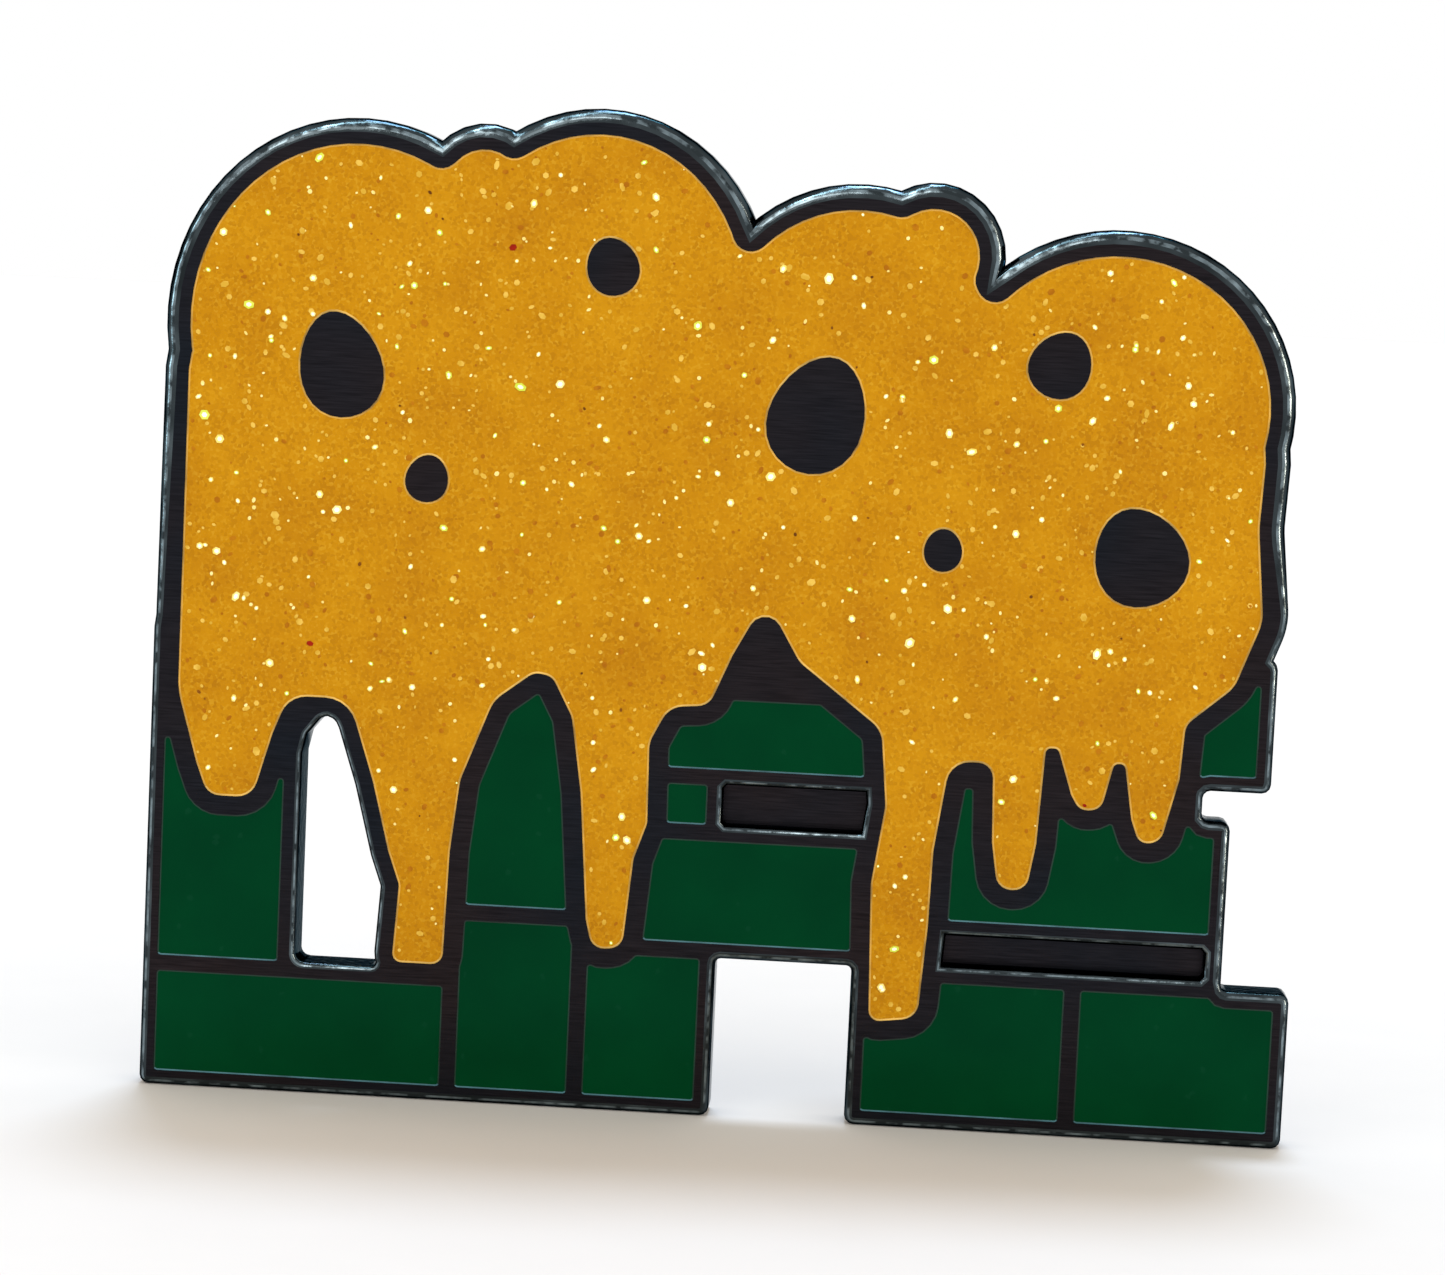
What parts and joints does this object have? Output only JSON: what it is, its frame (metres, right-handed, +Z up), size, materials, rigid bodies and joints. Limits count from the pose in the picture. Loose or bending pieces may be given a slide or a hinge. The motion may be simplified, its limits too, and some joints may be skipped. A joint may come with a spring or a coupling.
{
  "type": "enamel pin",
  "caption": "Flat struck-metal enamel pin: gold glitter melting over a dark green block wall, with soldered posts and butterfly clutches.",
  "frame": {"origin": "on the flat back of the plate, midway between the two posts", "axes": "+Z up as the pin is worn, +X to the right seen from the front, +Y out of the back along the posts, so the enamelled face looks along -Y"},
  "size_m": [0.038, 0.0096, 0.033],
  "materials": {
    "black_nickel": "black nickel plate, polished flush and finely brushed on the raised lines",
    "gold_glitter": "opaque amber hard enamel full of fine glitter, polished flat",
    "dark_green": "opaque dark green hard enamel, polished flat",
    "nickel": "nickel plate",
    "solder": "dull solder",
    "clutch_brass": "bright pressed brass",
    "spring_brass": "bright spring brass"
  },
  "bodies": {
    "pin": {"struck_plate": "black_nickel", "gold_glitter_enamel": "gold_glitter", "green_sill_enamel": "dark_green", "green_window_jamb_enamel": "dark_green", "green_pier_foot_enamel": "dark_green", "green_pier_enamel": "dark_green", "green_door_foot_enamel": "dark_green", "green_lintel_enamel": "dark_green", "green_closer_enamel": "dark_green", "green_keystone_enamel": "dark_green", "green_right_foot_enamel": "dark_green", "green_right_corner_enamel": "dark_green", "green_right_block_enamel": "dark_green", "green_right_cap_enamel": "dark_green", "left_post": "nickel", "right_post": "nickel", "left_post_solder": "solder", "right_post_solder": "solder"},
    "left_disc": {"left_clutch_base": "clutch_brass"},
    "left_cap": {"left_clutch_cap": "clutch_brass"},
    "left_inner_wing": {"left_clutch_inner_wing": "spring_brass"},
    "left_outer_wing": {"left_clutch_outer_wing": "spring_brass"},
    "right_disc": {"right_clutch_base": "clutch_brass"},
    "right_cap": {"right_clutch_cap": "clutch_brass"},
    "right_inner_wing": {"right_clutch_inner_wing": "spring_brass"},
    "right_outer_wing": {"right_clutch_outer_wing": "spring_brass"}
  },
  "joints": [
    {"name": "left_clutch_slide", "type": "slide", "parent": "pin", "child": "left_disc", "axis": [0, 1, 0], "range_m": [-0.002, 0.012]},
    {"name": "left_clutch_spin", "type": "hinge", "parent": "left_disc", "child": "left_cap", "pos_m": [-0.0095, 0.003, 0], "axis": [0, 1, 0], "continuous": true},
    {"name": "left_inner_wing_pinch", "type": "hinge", "parent": "left_cap", "child": "left_inner_wing", "pos_m": [-0.00686, 0.00485, 0], "axis": [0, 0, 1], "range_deg": [0, 10], "stiffness_Nm_per_rad": 0.002},
    {"name": "left_outer_wing_pinch", "type": "hinge", "parent": "left_cap", "child": "left_outer_wing", "pos_m": [-0.01214, 0.00485, 0], "axis": [0, 0, -1], "range_deg": [0, 10], "stiffness_Nm_per_rad": 0.002},
    {"name": "right_clutch_slide", "type": "slide", "parent": "pin", "child": "right_disc", "axis": [0, 1, 0], "range_m": [-0.002, 0.012]},
    {"name": "right_clutch_spin", "type": "hinge", "parent": "right_disc", "child": "right_cap", "pos_m": [0.0095, 0.003, 0], "axis": [0, 1, 0], "continuous": true},
    {"name": "right_outer_wing_pinch", "type": "hinge", "parent": "right_cap", "child": "right_outer_wing", "pos_m": [0.01214, 0.00485, 0], "axis": [0, 0, 1], "range_deg": [0, 10], "stiffness_Nm_per_rad": 0.002},
    {"name": "right_inner_wing_pinch", "type": "hinge", "parent": "right_cap", "child": "right_inner_wing", "pos_m": [0.00686, 0.00485, 0], "axis": [0, 0, -1], "range_deg": [0, 10], "stiffness_Nm_per_rad": 0.002}
  ],
  "couplings": [
    {"joint": "left_outer_wing_pinch", "follows": "left_inner_wing_pinch", "ratio": 1},
    {"joint": "right_inner_wing_pinch", "follows": "right_outer_wing_pinch", "ratio": 1}
  ]
}
